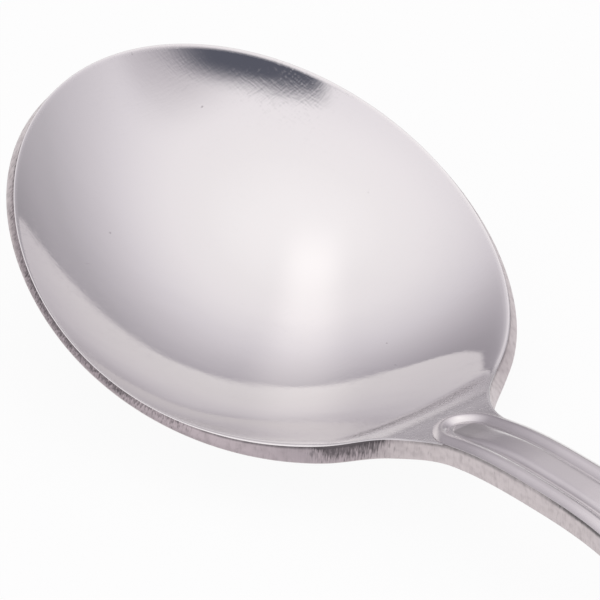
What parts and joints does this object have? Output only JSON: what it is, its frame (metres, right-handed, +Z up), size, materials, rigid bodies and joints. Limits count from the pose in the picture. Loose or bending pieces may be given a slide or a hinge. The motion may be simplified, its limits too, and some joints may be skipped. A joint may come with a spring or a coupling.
{
  "type": "soup spoon",
  "caption": "Soup spoon with a dished oval bowl, a short neck and an arched flat handle edged by a raised thread border, for eating soup.",
  "frame": {"origin": "middle of the spoon's length and width, on the table it lies on", "axes": "+X along the handle away from the bowl, +Y across the spoon, +Z up from the table"},
  "size_m": [0.16, 0.0434, 0.0168],
  "materials": {
    "bowl_polish": "mirror-polished stainless steel with fine polishing scratches",
    "handle_steel": "satin-polished stainless steel with a dull, stained ground edge",
    "thread_polish": "satin-polished stainless steel, struck in relief"
  },
  "bodies": {
    "root": {"bowl": "bowl_polish", "neck": "handle_steel", "stem": "handle_steel", "handle_end": "handle_steel", "thread_border": "thread_polish", "centre_panel": "thread_polish"}
  },
  "joints": []
}
